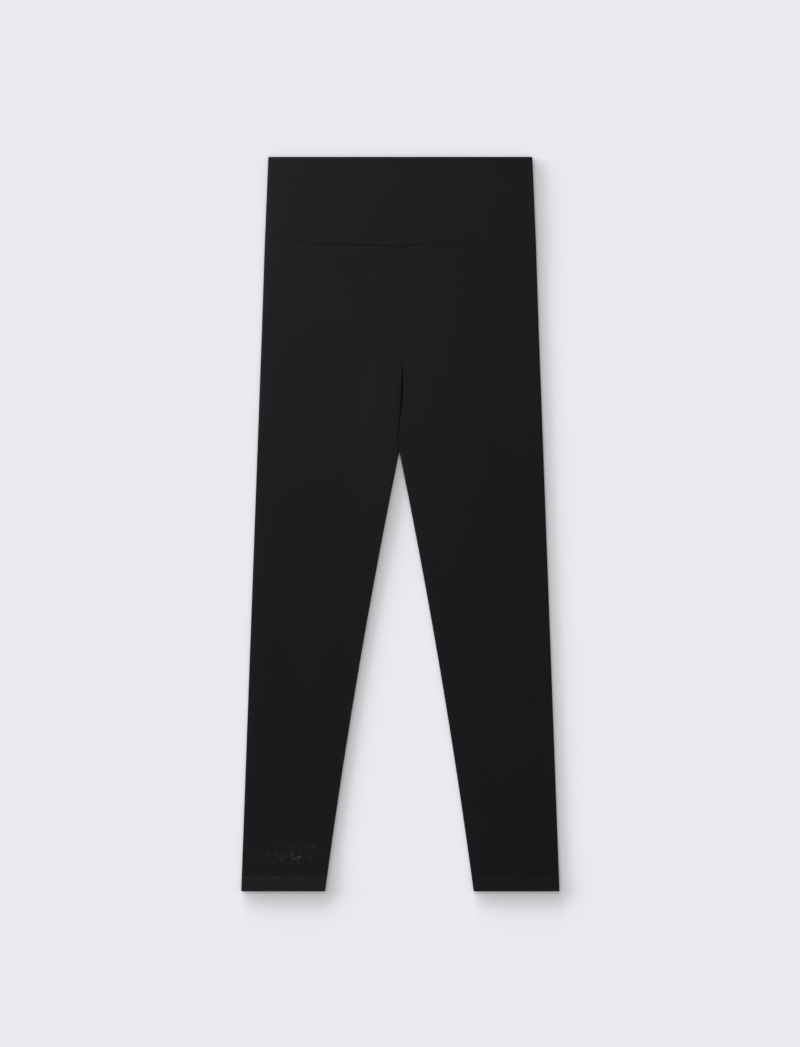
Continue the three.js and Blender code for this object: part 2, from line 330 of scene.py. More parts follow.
# How finely the cloth is drawn, as distances from an edge, and the step between in the open.
NEAR_SEAM = (0.35, 0.8, 1.4, 2.2, 3.2, 4.6, 6.5, 9, 12)
NEAR_FOLD = (10, 6.5, 4, 2.2, 1)
FRONT_COLUMNS = 34
BACK_COLUMNS = 20
BAND_COLUMNS = 76
ROUND_STEPS = 10
CURL_STEPS = 6
OPEN_STEP = 4.0
FORK_SPAN = (34, 22)  # above and below the fork
FORK_STEP = 2.0
HEM_SPAN = 32  # above the hem's edge
HEM_STEP = 1.6
STITCH_SPAN = 3.5  # above and below the two rows of stitches
STITCH_STEP = 0.45
EDGE_SPAN = 2.4
EDGE_STEPS = (1.2, 0.5)  # down to that span above the hem's edge, and in it
TURNED_END = 0.4  # how far above the hem's depth the turned ply ends
TURNED_STEP = 1.8
BAND_STEP = 3.2
WAIST_SPAN = 5  # below the waist edge
WAIST_STEP = 1
INNER_END = 0.5  # how far above the seam the waistband's inner ply ends
INNER_STEP = 5

Row = namedtuple("Row", "place along depth lip roll")
Point = namedtuple("Point", "across z out_x out_z")


def lerp(a, b, share):
    return a + (b - a) * share


def ease(value, start, end):
    """Rises from 0 at start to 1 at end, softly at both."""
    share = min(1.0, max(0.0, (value - start) / (end - start)))
    return share * share * (3 - 2 * share)


def bell(distance, reach):
    return math.exp(-((distance / reach) ** 2))


def through(rows):
    """A smooth line through the rows of a table, which doesn't swing past them."""
    xs, ys = zip(*rows)
    slopes = [(y1 - y0) / (x1 - x0) for x0, x1, y0, y1 in zip(xs, xs[1:], ys, ys[1:])]
    tangents = [0.0]
    for before, after in zip(slopes, slopes[1:]):
        agree = before * after > 0
        tangents.append(2 * before * after / (before + after) if agree else 0.0)
    tangents.append(0.0)

    def read(x):
        x = min(xs[-1], max(xs[0], x))
        k = max(0, min(len(slopes) - 1, sum(x >= place for place in xs) - 1))
        width = xs[k + 1] - xs[k]
        t = (x - xs[k]) / width
        return (
            ys[k] * (1 + 2 * t) * (1 - t) ** 2
            + ys[k + 1] * t * t * (3 - 2 * t)
            + width * t * (1 - t) * (tangents[k] * (1 - t) - tangents[k + 1] * t)
        )

    return read


def spaced(start, end, step):
    """Even places after start, the last one at end."""
    count = max(1, round((end - start) / step))
    return [lerp(start, end, k / count) for k in range(1, count + 1)]


def between(start, end, near, far, count):
    """Places from start to end: some at given distances from either end, and count even ones between."""
    head = [start + distance for distance in near]
    tail = [end - distance for distance in far]
    middle = [lerp(head[-1], tail[0], k / (count + 1)) for k in range(1, count + 1)]
    return [start, *head, *middle, *tail, end]


def seam_shape(distance):
    """How far the cloth dips at a distance from a seam."""
    return -SEAM_DIP * bell(distance, DIP_REACH) - SEAM_GROOVE * bell(distance, GROOVE_REACH)


def soft_shapes(shapes, across, down):
    """The height that a table of soft shapes adds up to at a place."""
    height = 0.0
    for out, place, turn, reach, spread, rise in shapes:
        dx, dy = across - out, down - place
        if abs(dx) > 3 * reach or abs(dy) > 3 * reach:
            continue
        lean = math.radians(turn)
        along = dy * math.cos(lean) + dx * math.sin(lean)
        beside = dx * math.cos(lean) - dy * math.sin(lean)
        height += rise * bell(along, reach) * bell(beside, spread)
    return height


class Pattern:
    """The garment's lines laid flat, in millimetres down from the waist edge and out from the middle."""

    def __init__(self, sizes):
        self.length = sizes.length / MM
        self.half_waist = sizes.waist_width / MM / 2
        self.half_hems = sizes.hems_span / MM / 2
        self.hem_width = sizes.hem_width / MM
        self.hem_depth = sizes.hem_depth / MM
        self.fork_down = sizes.fork_down / MM
        self.fork_slope = sizes.fork_slope
        self.ply = sizes.ply / MM
        self.band_seam = through(BAND_SEAM)
        self.seam_gape = through(SEAM_GAPE)
        self.sway = through(SWAY)
        self.half_slit = through(HALF_SLIT)
        self.leg_top = self.band_seam(0) + SEAM_SLACK + ROLL

    def band_edge(self, across):
        """How far down the waistband's cloth starts to roll in at its seam."""
        return self.band_seam(across) - SEAM_SLACK - ROLL

    def outer_edge(self, down):
        return lerp(self.half_waist, self.half_hems, down / self.length)

    def inner_edge(self, down, side, half_slit):
        below = max(0.0, down - self.fork_down)
        leg = self.length - self.fork_down
        at_hem = self.half_hems - self.hem_width
        bend = (at_hem - self.fork_slope * leg) / leg**2
        return side * self.sway(down) + half_slit + self.fork_slope * below + bend * below**2

    def leg_wall(self, down):
        hem_top = self.length - self.hem_depth
        risen = HEM_LEAD_SHARE * ease(down, hem_top - HEM_LEAD, hem_top)
        risen += (1 - HEM_LEAD_SHARE) * ease(down, hem_top - HEM_RISE, hem_top + HEM_RISE)
        bulk = SEAM_BULK * bell(down - self.leg_top, SEAM_BULK_REACH)
        return JERSEY + bulk + (HEM_WALL - JERSEY) * risen

    def stitch_groove(self, down):
        above = self.length - down
        return STITCH_GROOVE * sum(bell(above - row, STITCH_GROOVE_REACH) for row in STITCH_ROWS)


def shoulder(from_fold):
    """1 at a folded side, and less and less away from it."""
    return 0.5 * bell(from_fold, SIDE_SHOULDER) + 0.5 * bell(from_fold, SIDE_EASE)


def side_fade(from_fold):
    """The share of a seam's shape at a distance from the folded side."""
    return lerp(SIDE_SEAM, 1, ease(from_fold, 0, SIDE_SEAM_EASE))


def rolled(end, heading, out, lip, roll):
    """The last points of a ply at a seam, from its tucked-in end to where it starts to roll."""
    points = []
    for k, (degrees, straight) in enumerate(ROLL_STEPS):
        turn = math.radians(degrees)
        ahead = lerp(FLAT_STEP * (len(ROLL_STEPS) - k), roll * math.sin(turn), lip)
        sunk = lip * (roll * (1 - math.cos(turn)) + straight)
        place = [e + ahead * h - sunk * o for e, h, o in zip(end, heading, out)]
        facing = [lerp(o, o * math.cos(turn) + h * math.sin(turn), lip) for h, o in zip(heading, out)]
        points.append(Point(*place, *facing))
    return points


def curl(share, amount, radius, roll):
    """A place on an inner edge: how far inwards, how far through the thickness, and how far turned."""
    full_turn = math.pi / 2 - (roll + SEAM_SLACK) / radius
    straight = (1 - amount) * full_turn * radius
    path = share * full_turn * radius
    turned = max(0.0, path - straight) / radius
    inwards = min(path, straight) + radius * math.sin(turned)
    return inwards, radius * (1 - math.cos(turned)), turned


def leg_section(pattern, down, side, lip):
    """One cut across a leg: from the centre front, over the front, round the side, under the back."""
    seam_distance = down - pattern.leg_top
    wall = pattern.leg_wall(down)
    calf = ease(down, pattern.fork_down, pattern.fork_down + THIGH_LENGTH)
    inner_gap = lerp(THIGH_GAP, CALF_GAP, calf)
    at_seam = seam_shape(seam_distance)
    above_hem = pattern.length - pattern.hem_depth - down
    near_end = max(bell(seam_distance, SEAM_BULK_REACH), ease(above_hem, HEM_LEAD, 0))
    side_gap = lerp(SIDE_GAP, SEAM_SIDE_GAP, near_end)
    outer_radius = wall + (side_gap + SIDE_SEAM * at_seam) / 2
    outer_reach = outer_radius * lerp(SIDE_FLATNESS, 1, ease(above_hem, *SIDE_ROUNDS))
    inner_radius = wall + inner_gap / 2
    fold_start = pattern.outer_edge(down) - outer_reach
    front_inner = pattern.inner_edge(down, side, pattern.half_slit(down) + SEAM_SLACK)
    back_inner = pattern.inner_edge(down, side, SEAM_SLACK)
    lift = ease(down, *FRONT_LIFT)
    front_curl = ease(down, *FRONT_CURL)
    back_curl = ease(down, *BACK_CURL)
    front_roll = lerp(CENTRE_ROLL, ROLL, front_curl)
    back_roll = lerp(CENTRE_ROLL, ROLL, back_curl)
    inwards, _, turned = curl(1, front_curl, inner_radius, front_roll)
    front_start = front_inner + inwards + front_roll * (1 - math.sin(turned))
    inwards, _, turned = curl(1, back_curl, inner_radius, back_roll)
    back_start = back_inner + inwards + back_roll * (1 - math.sin(turned))
    fronts = RIGHT_FRONT if side < 0 else LEFT_FRONT
    backs = RIGHT_BACK if side < 0 else LEFT_BACK
    near_seam = bell(seam_distance, DIP_REACH)
    off_seam = 1 - bell(seam_distance, SIDE_EASE)
    off_hem = ease(above_hem, 0, CALM_BY_HEM)
    at_hem = ease(above_hem, HEM_PUCKER_REACH, 0)
    leg_seed, level = HEM_PUCKER_SEED

    def top(across):
        outer_fold = shoulder(fold_start - across)
        inner_fold = lift * bell(max(0, across - front_start), SIDE_EASE)
        free = (1 - outer_fold) * (1 - inner_fold)
        centre = CENTRE_DIP * (1 - lift) * seam_shape(across - front_inner) * (1 - near_seam)
        gap = outer_fold * side_gap + inner_fold * inner_gap + free * BODY_GAP
        edges = ease(fold_start - across, 0, CALM_BY_FOLD) * ease(across - front_start, *CALM_BY_CENTRE)
        raised = edges * soft_shapes(fronts, across, down) * off_seam * lerp(HEM_KEEPS, 1, off_hem)
        wave = noise.noise(Vector((across / HEM_PUCKER_PITCH, side * leg_seed, level)))
        seam = side_fade(fold_start - across) * at_seam + centre
        return 2 * wall + gap + seam + raised + HEM_PUCKER * wave * at_hem

    def bottom(across):
        edges = ease(fold_start - across, 0, CALM_UNDER[0]) * ease(across - back_start, 0, CALM_UNDER[1])
        return edges * off_hem * off_seam * soft_shapes(backs, across, down)

    def edge(start, amount, base, face, roll):
        points = []
        for k in range(CURL_STEPS, 0, -1):
            inwards, through_wall, turned = curl(k / CURL_STEPS, amount, inner_radius, roll)
            across = start - inwards
            z = base(across) - face * through_wall
            points.append(Point(across, z, -math.sin(turned), face * math.cos(turned)))
        end = points[0]
        turned = curl(1, amount, inner_radius, roll)[2]
        heading = (-math.cos(turned), -face * math.sin(turned))
        return rolled((end.across, end.z), heading, (end.out_x, end.out_z), lip, roll) + points

    points = edge(front_start, front_curl, top, 1, front_roll)
    for across in between(front_start, fold_start, NEAR_SEAM, NEAR_FOLD, FRONT_COLUMNS)[:-1]:
        points.append(Point(across, top(across), 0, 1))
    for k in range(ROUND_STEPS + 1):
        turn = math.pi * k / ROUND_STEPS
        across = fold_start + outer_reach * math.sin(turn)
        z = outer_radius * (1 + math.cos(turn))
        out = Vector((math.sin(turn) / outer_reach, math.cos(turn) / outer_radius)).normalized()
        points.append(Point(across, z, *out))
    under = between(back_start, fold_start, NEAR_SEAM, NEAR_FOLD, BACK_COLUMNS)[:-1]
    for across in reversed(under):
        points.append(Point(across, bottom(across), 0, -1))
    return points + edge(back_start, back_curl, bottom, -1, back_roll)[::-1]


def band_section(pattern, down, face, seam_distance, lip):
    """One cut across the front or back of the waistband, from one side seam to the other."""
    radius = BAND_WALL + (BAND_SIDE_GAP + SIDE_SEAM * seam_shape(seam_distance)) / 2
    fold_start = pattern.outer_edge(down) - radius
    quarter = math.pi / 2 - (ROLL + SEAM_SLACK) / radius
    side = []
    for k in range(ROUND_STEPS // 2):
        turn = quarter * (1 - 2 * k / ROUND_STEPS)
        across = fold_start + radius * math.sin(turn)
        z = radius + face * radius * math.cos(turn)
        side.append(Point(across, z, math.sin(turn), face * math.cos(turn)))
    end = side[0]
    heading = (math.cos(quarter), -face * math.sin(quarter))
    side = rolled((end.across, end.z), heading, (end.out_x, end.out_z), lip, ROLL) + side
    middle = []
    mean, swing = RIPPLE_STRENGTH
    off_seam = ease(seam_distance, 0, CALM_BY_BAND_SEAM)
    for across in between(-fold_start, fold_start, NEAR_FOLD[::-1], NEAR_FOLD, BAND_COLUMNS):
        from_fold = fold_start - abs(across)
        free = ease(from_fold, 0, CALM_BY_FOLD)
        beat = 0.5 + 0.5 * math.cos(2 * math.pi * across / RIPPLE_PITCH)
        spot = Vector((across / RIPPLE_PATCH[0], face * RIPPLE_SEED, down / RIPPLE_PATCH[1]))
        uneven = mean + swing * noise.noise(spot)
        ripple = RIPPLE_HEIGHT * beat * uneven * bell(down, RIPPLE_REACH) * free
        if face > 0:
            seam = side_fade(from_fold) * seam_shape(seam_distance)
            gap = lerp(BAND_GAP, BAND_SIDE_GAP, shoulder(from_fold)) + seam
            z = 2 * BAND_WALL + gap + free * soft_shapes(BAND_FRONT, across, down) * off_seam + ripple
        else:
            raised = free * soft_shapes(BAND_BACK, across, down)
            z = raised * off_seam * ease(down, 0, CALM_BY_WAIST) + ripple
        middle.append(Point(across, z, 0, face))
    mirrored = [Point(-p.across, p.z, -p.out_x, p.out_z) for p in side]
    return mirrored + middle + side[::-1]


def roll_rows(place):
    """Rows along a rolled edge, from its tucked-in end to where it starts to roll."""
    rows = []
    for degrees, straight in ROLL_STEPS:
        turn = math.radians(degrees)
        rows.append(Row(place, 0, 0, 1 - degrees / 90, (turn, straight)))
    return rows


def place_in_roll(row, share):
    """How far along and how deep a row lies where the roll keeps that share of its full radius."""
    if row.roll is None:
        return row.along, row.depth
    turn, straight = row.roll
    radius = share * ROLL
    return radius - ROLL - radius * math.sin(turn), radius * (1 - math.cos(turn)) + straight


def fold_rows(place):
    """Rows round a fold of the cloth, in which it turns back along its own inside."""
    rows = []
    for k in range(1, FOLD_STEPS + 1):
        turn = math.pi * k / FOLD_STEPS
        along = FOLD_RADIUS * math.sin(turn)
        depth = FOLD_RADIUS * (1 - math.cos(turn))
        rows.append(Row(place, along, depth, 1 - k / FOLD_STEPS, None))
    return rows


def leg_rows(pattern):
    """Rows of a leg from the waistband's seam to the hem's edge and back up inside, by the way down."""
    top, end = pattern.leg_top, pattern.length - FOLD_RADIUS
    places = [top, *(top + distance for distance in NEAR_SEAM)]
    for to, step in (
        (pattern.fork_down - FORK_SPAN[0], OPEN_STEP),
        (pattern.fork_down + FORK_SPAN[1], FORK_STEP),
        (pattern.length - HEM_SPAN, OPEN_STEP),
        (pattern.length - STITCH_ROWS[0] - STITCH_SPAN, HEM_STEP),
        (pattern.length - STITCH_ROWS[1] + STITCH_SPAN, STITCH_STEP),
        (pattern.length - EDGE_SPAN, EDGE_STEPS[0]),
        (end, EDGE_STEPS[1]),
    ):
        places += spaced(places[-1], to, step)
    rows = roll_rows(top)
    rows += [Row(place, 0, pattern.stitch_groove(place), 1, None) for place in places]
    rows += fold_rows(end)
    turned_up = spaced(end, pattern.length - pattern.hem_depth - TURNED_END, TURNED_STEP)
    return rows + [Row(place, 0, 2 * FOLD_RADIUS, 0, None) for place in turned_up]


def band_rows(pattern):
    """Rows of the waistband from its seam to the waist edge and back inside, by distance from the seam."""
    end = pattern.band_edge(0) - FOLD_RADIUS
    places = [0, *NEAR_SEAM]
    places += spaced(places[-1], end - WAIST_SPAN, BAND_STEP)
    places += spaced(places[-1], end, WAIST_STEP)
    rows = roll_rows(0)
    rows += [Row(place, 0, 0, 1, None) for place in places]
    rows += fold_rows(end)
    inner_ply = spaced(end, INNER_END, INNER_STEP)
    return rows + [Row(place, 0, 2 * FOLD_RADIUS, 0, None) for place in inner_ply]


def lengths(points, zero):
    """How far along the cloth each point of a section lies, from the point with that index."""
    total, run = 0.0, [0.0]
    for a, b in zip(points, points[1:]):
        total += math.hypot(b.across - a.across, b.z - a.z)
        run.append(total)
    return [value - run[zero] for value in run]


def placed(name, data):
    """A new object in the scene."""
    thing = bpy.data.objects.new(name, data)
    bpy.context.scene.collection.objects.link(thing)
    return thing


def piece_of(bm, name):
    """Takes a finished bmesh into the scene."""
    mesh = bpy.data.meshes.new(name)
    bm.to_mesh(mesh)
    bm.free()
    return placed(name, mesh)


def cloth_grid(name, table, outwards):
    """A sheet from a table of rows of (position, place on the flat cloth, share of the ply, painted
    highlight).
    """
    columns, rows = len(table[0]), len(table)
    bm = bmesh.new()
    bmesh.ops.create_grid(bm, x_segments=columns - 1, y_segments=rows - 1, size=0.5)
    uv_layer = bm.loops.layers.uv.new("cloth")
    ply_layer = bm.verts.layers.deform.verify()
    painted_highlight_layer = bm.verts.layers.float.new("painted_highlight")
    cells = {}
    for vertex in bm.verts:
        i = round((vertex.co.x + 0.5) * (columns - 1))
        j = round((vertex.co.y + 0.5) * (rows - 1))
        cells[vertex] = table[j][i]
    for vertex, (position, _, share, painted_highlight) in cells.items():
        vertex.co = position
        vertex[ply_layer][0] = share
        vertex[painted_highlight_layer] = painted_highlight
    for face in bm.faces:
        face.smooth = True
        for loop in face.loops:
            loop[uv_layer].uv = cells[loop.vert][1]
    bm.normal_update()
    if sum(face.normal.dot(outwards(face.calc_center_median())) for face in bm.faces) < 0:
        bmesh.ops.reverse_faces(bm, faces=bm.faces)
    piece = piece_of(bm, name)
    piece.vertex_groups.new(name="ply")
    return piece


def give_thickness(piece, ply):
    """Adds the ply's own thickness on the inside of a sheet."""
    wall = piece.modifiers.new("ply", "SOLIDIFY")
    wall.thickness = ply * MM
    wall.offset = -1
    wall.vertex_group = "ply"
    wall.use_rim = True
    wall.use_quality_normals = True


def row_lengths(rows):
    """How far along the cloth each row lies. The first row's place starts the count."""
    total, run = rows[0].place, [rows[0].place]
    for a, b in zip(rows, rows[1:]):
        (from_along, from_depth), (to_along, to_depth) = place_in_roll(a, 1), place_in_roll(b, 1)
        total += math.hypot(b.place + to_along - a.place - from_along, to_depth - from_depth)
        run.append(total)
    return run


def from_ends(run):
    """How far along the cloth each point of a section lies in from the nearer of its two rolled edges."""
    first, last = run[len(ROLL_STEPS)], run[-1 - len(ROLL_STEPS)]
    return [min(flat - first, last - flat) for flat in run]


def set_in(point, depth):
    """Where a point of a section comes to lie when it goes in through the wall."""
    return point.across - depth * point.out_x, point.z - depth * point.out_z


def edge_share(distance):
    """The share of the ply's thickness at a distance from an edge."""
    return lerp(THIN_EDGE, 1, ease(distance, 0, THIN_REACH))


def rim_highlight(distance):
    """The painted highlight along a folded edge: 1 at the edge, and less and less away from it."""
    return sum(share * bell(distance, reach) for share, reach in RIM_HIGHLIGHT_FALLOFF)


def roll_share(pattern, across):
    """The share of its full radius that the waistband seam's roll has at a place."""
    from_fold = pattern.outer_edge(pattern.leg_top) - abs(across)
    return lerp(SIDE_ROLL, 1, ease(from_fold, 0, SIDE_SEAM_EASE))


def leg_sheet(pattern, side, name):
    """A leg's cloth, from its seam at the waistband down to the hem and up inside it."""
    rows = leg_rows(pattern)
    down_cloth = row_lengths(rows)
    fade = (pattern.leg_top, FRONT_LIFT[0])
    rim_highlights, highlight_patches = (RIGHT_RIM_HIGHLIGHTS, RIGHT_HIGHLIGHT_PATCHES) if side < 0 else (LEFT_RIM_HIGHLIGHTS, LEFT_HIGHLIGHT_PATCHES)
    table = []
    for row, flat_down in zip(rows, down_cloth):
        points = leg_section(pattern, row.place, side, row.lip)
        middle = len(ROLL_STEPS) + CURL_STEPS + len(NEAR_SEAM) + len(NEAR_FOLD) + FRONT_COLUMNS
        flat_across = lengths(points, middle + 1 + ROUND_STEPS // 2)
        follow = 1 - ease(row.place, *fade)
        below_fork = ease(row.place, pattern.fork_down - INNER_RIM[0], pattern.fork_down + INNER_RIM[1])
        # painted highlight along the fold at the hem's edge
        highlight_at_fold = FOLD_HIGHLIGHT * bell(pattern.length - FOLD_RADIUS - row.place, FOLD_HIGHLIGHT_REACH)
        cells = []
        for k, (p, flat, inside) in enumerate(zip(points, flat_across, from_ends(flat_across))):
            curve = follow * (pattern.band_seam(side * p.across) - pattern.band_seam(0))
            gape = 0.0
            if k <= middle:
                near = bell(row.place - pattern.leg_top, GAPE_REACH)
                gape = pattern.seam_gape(side * p.across) / 2 * near
            along, depth = place_in_roll(row, roll_share(pattern, p.across))
            x, z = set_in(p, depth)
            position = Vector((side * x, pattern.length / 2 - row.place - along - curve - gape, z))
            # painted highlight: along the fold, the outer rim and, below the fork, the inner rim
            painted_highlight = 1 + highlight_at_fold + rim_highlights[0] * rim_highlight(flat) + rim_highlights[1] * below_fork * rim_highlight(inside)
            # the front also gets painted highlight in soft patches
            if p.out_z > 0:
                painted_highlight += soft_shapes(highlight_patches, p.across, row.place)
            if row.lip == 1 or row.roll:
                inside = min(inside, row.place - pattern.leg_top)
            place = (flat * MM, (flat_down + curve) * MM)
            cells.append((position * MM, place, edge_share(inside), painted_highlight))
        table.append(cells)
    middle_z = LEFT_BOX[1].z / 2
    piece = cloth_grid(name, table, lambda at: Vector((0, 0, at.z - middle_z)))
    give_thickness(piece, pattern.ply)
    return piece


def band_sheet(pattern, face, name):
    """The front or back of the waistband, from its seam up over the waist edge and down inside."""
    rows = band_rows(pattern)
    up_cloth = row_lengths(rows)
    band_depth = pattern.band_edge(0)
    table = []
    for row, flat_up in zip(rows, up_cloth):
        distance = row.place
        # painted highlight along the fold at the waist edge
        highlight_at_fold = FOLD_HIGHLIGHT * bell(band_depth - FOLD_RADIUS - distance, FOLD_HIGHLIGHT_REACH)
        points = band_section(pattern, band_depth - distance, face, distance, row.lip)
        flat_across = lengths(points, len(points) // 2)
        cells = []
        for p, flat, inside in zip(points, flat_across, from_ends(flat_across)):
            share = 1 - distance / band_depth
            along, depth = place_in_roll(row, roll_share(pattern, p.across))
            down = share * pattern.band_edge(p.across) - along
            if face > 0:
                down -= pattern.seam_gape(p.across) / 2 * bell(distance, GAPE_REACH)
            x, z = set_in(p, depth)
            position = Vector((x, pattern.length / 2 - down, z))
            # painted highlight along the fold at the waist edge and along the folded sides
            painted_highlight = 1 + highlight_at_fold + BAND_RIM_HIGHLIGHTS[p.across > 0] * rim_highlight(inside)
            if row.lip == 1 or row.roll:
                inside = min(inside, distance)
            place = (flat * MM, (band_depth - flat_up) * MM)
            cells.append((position * MM, place, edge_share(inside), painted_highlight))
        table.append(cells)
    piece = cloth_grid(name, table, lambda at: Vector((0, 0, face)))
    give_thickness(piece, pattern.ply)
    return piece


def stitch_rows(pattern, side, name):
    """Two rows of sunk stitches round a hem, joined as one piece."""
    bm = bmesh.new()
    around, lengthways = STITCH_FACETS
    for above in STITCH_ROWS:
        down = pattern.length - above
        points = leg_section(pattern, down, side, 0)[len(ROLL_STEPS) : -len(ROLL_STEPS)]
        run = lengths(points, 0)
        sunk = pattern.stitch_groove(down) + STITCH_SUNK

        def spot(along, aside, proud):
            k = max(0, min(len(points) - 2, sum(along >= place for place in run) - 1))
            share = (along - run[k]) / (run[k + 1] - run[k])
            p, q = (Vector(point) for point in points[k : k + 2])
            across, z, out_x, out_z = p.lerp(q, share)
            inward = (sunk - proud) / math.hypot(out_x, out_z)
            x = side * (across - inward * out_x)
            return Vector((x, pattern.length / 2 - down + aside, z - inward * out_z)) * MM

        count = int((run[-1] - STITCH_PITCH) / STITCH_PITCH)
        for number in range(count):
            middle = (number + 1) * run[-1] / (count + 1)
            lean = STITCH_LEAN * noise.noise(Vector((number * STITCH_SEED, above, side)))
            made = bmesh.ops.create_uvsphere(bm, u_segments=around, v_segments=lengthways, radius=1)
            for vertex in made["verts"]:
                aside, proud, along = vertex.co
                reach = along * STITCH_LENGTH / 2
                aside = aside * THREAD / 2 + reach * lean
                vertex.co = spot(middle + reach, aside, proud * THREAD / 2)
    bmesh.ops.recalc_face_normals(bm, faces=bm.faces)
    for face in bm.faces:
        face.smooth = True
    return piece_of(bm, name)


class Value:
    """A number in a material. Python's operators on it add Math nodes."""

    def __init__(self, finish, socket):
        self.finish = finish
        self.socket = socket

    def math(self, operation, *others):
        values = dict(enumerate((self, *others)))
        return self.finish.value("ShaderNodeMath", {"operation": operation}, values)

    def __add__(self, other):
        return self.math("ADD", other)

    def __sub__(self, other):
        return self.math("SUBTRACT", other)

    def __mul__(self, other):
        return self.math("MULTIPLY", other)

    def __truediv__(self, other):
        return self.math("DIVIDE", other)

    def __neg__(self):
        return self.math("MULTIPLY", -1)

    def __rsub__(self, other):
        return -self + other

    __radd__ = __add__
    __rmul__ = __mul__


class Finish:
    """A material being made, with its nodes."""

    def __init__(self, name):
        self.material = bpy.data.materials.new(name)
        self.material.use_nodes = True
        self.tree = self.material.node_tree
        self.shader = self.tree.nodes["Principled BSDF"]

    def node(self, kind, settings=None, values=None):
        """Adds a node: its settings first, and then the values or links of its sockets."""
        made = self.tree.nodes.new(kind)
        for name, value in (settings or {}).items():
            setattr(made, name, value)
        for name, value in (values or {}).items():
            self.fill(made.inputs[name], value)
        return made

    def value(self, kind, settings=None, values=None, output=0):
        return Value(self, self.node(kind, settings, values).outputs[output])

    def fill(self, socket, value):
        if isinstance(value, Value):
            self.tree.links.new(value.socket, socket)
        else:
            socket.default_value = value

    def surface(self, **values):
        """Fills the shader's sockets: what varies over the piece is linked, and what doesn't is set."""
        for name, value in values.items():
            self.fill(self.shader.inputs[name.replace("_", " ")], value)

    def ramp(self, value, start, end, low, high):
        """A soft step of a value from low at start to high at end."""
        settings = {"interpolation_type": "SMOOTHSTEP"}
        values = {0: value, 1: start, 2: end, 3: low, 4: high}
        return self.value("ShaderNodeMapRange", settings, values)

    def turned(self, vector, middle, turn):
        """A place turned back about an upright line through the middle, by an angle in degrees."""
        settings = {"rotation_type": "Z_AXIS"}
        values = {"Vector": vector, "Center": (*middle, 0), "Angle": math.radians(-turn)}
        return self.value("ShaderNodeVectorRotate", settings, values)

    def noise(self, vector, scale, detail=2.0):
        values = {"Vector": vector, "Scale": scale, "Detail": detail, "Roughness": NOISE_ROUGHNESS}
        return self.value("ShaderNodeTexNoise", None, values)

    def vector(self, operation, *values, output=0):
        """Vector maths, for places and colours."""
        settings = {"operation": operation}
        return self.value("ShaderNodeVectorMath", settings, dict(enumerate(values)), output)

    def tint(self, colour, factor):
        """A colour made lighter or darker by a factor that changes over the piece."""
        grey = self.value("ShaderNodeCombineXYZ", None, {0: factor, 1: factor, 2: factor})
        return self.vector("MULTIPLY", grey, colour[:3])

    def mix(self, factor, first, second):
        settings = {"data_type": "RGBA"}
        return self.value("ShaderNodeMix", settings, {0: factor, 6: first, 7: second}, 2)


def patch(finish, place, middle, size, turn=0.0):
    """1 in the middle of an oval patch, and softly 0 at its rim."""
    offset = finish.vector("SUBTRACT", finish.turned(place, middle, turn), (*middle, 0))
    drawn = finish.vector("MULTIPLY", offset, (1 / size[0], 1 / size[1], 0))
    return finish.ramp(finish.vector("LENGTH", drawn, output="Value"), 1, 0, 0, 1)


def knit_height(finish, u, v, wale, course):
    """The relief of a plain knit: upright ribs, each a chain of slanted loops."""
    cell = u / wale
    off = (cell.math("FRACT") - 0.5).math("ABSOLUTE")
    rib = (off * math.pi).math("COSINE")
    loops = ((v / course + off * LOOP_SLANT) * (2 * math.pi)).math("SINE")
    return rib * (loops * LOOP_SHARE + (1 - LOOP_SHARE))


def lint_mask(finish, flat, place):
    """Stray fibres on the front, in a slanting patch above a hem and along the hem's line."""
    height = finish.value("ShaderNodeSeparateXYZ", None, {0: place}, 2)
    front = finish.ramp(height, *FRONT_FROM, 0, 1)
    on_hem = patch(finish, place, *LINT_ON_HEM) * LINT_ON_HEM_SHARE
    inside = (patch(finish, place, *LINT_PATCH) + on_hem) * front
    number, start, full = LINT_CLUMPS
    clumps = finish.ramp(finish.noise(flat, number, 3), start, full, 0, 1)
    total = 0.0
    for turn, stretch, scale, left_out in LINT_FLECKS:
        drawn = finish.vector("MULTIPLY", finish.turned(place, (0, 0), turn), stretch)
        cells = finish.node("ShaderNodeTexVoronoi", None, {"Vector": drawn, "Scale": scale})
        fleck = finish.ramp(Value(finish, cells.outputs["Distance"]), *FLECK_RIM, 0, 1)
        pick = finish.value("ShaderNodeSeparateColor", None, {0: Value(finish, cells.outputs["Color"])})
        often = finish.ramp(pick, left_out, FLECK_FULL, 0, 1)
        total = fleck * often + total
    haze = inside * clumps * LINT_HAZE
    return (total * inside * clumps + haze).math("MINIMUM", LINT_MOST)


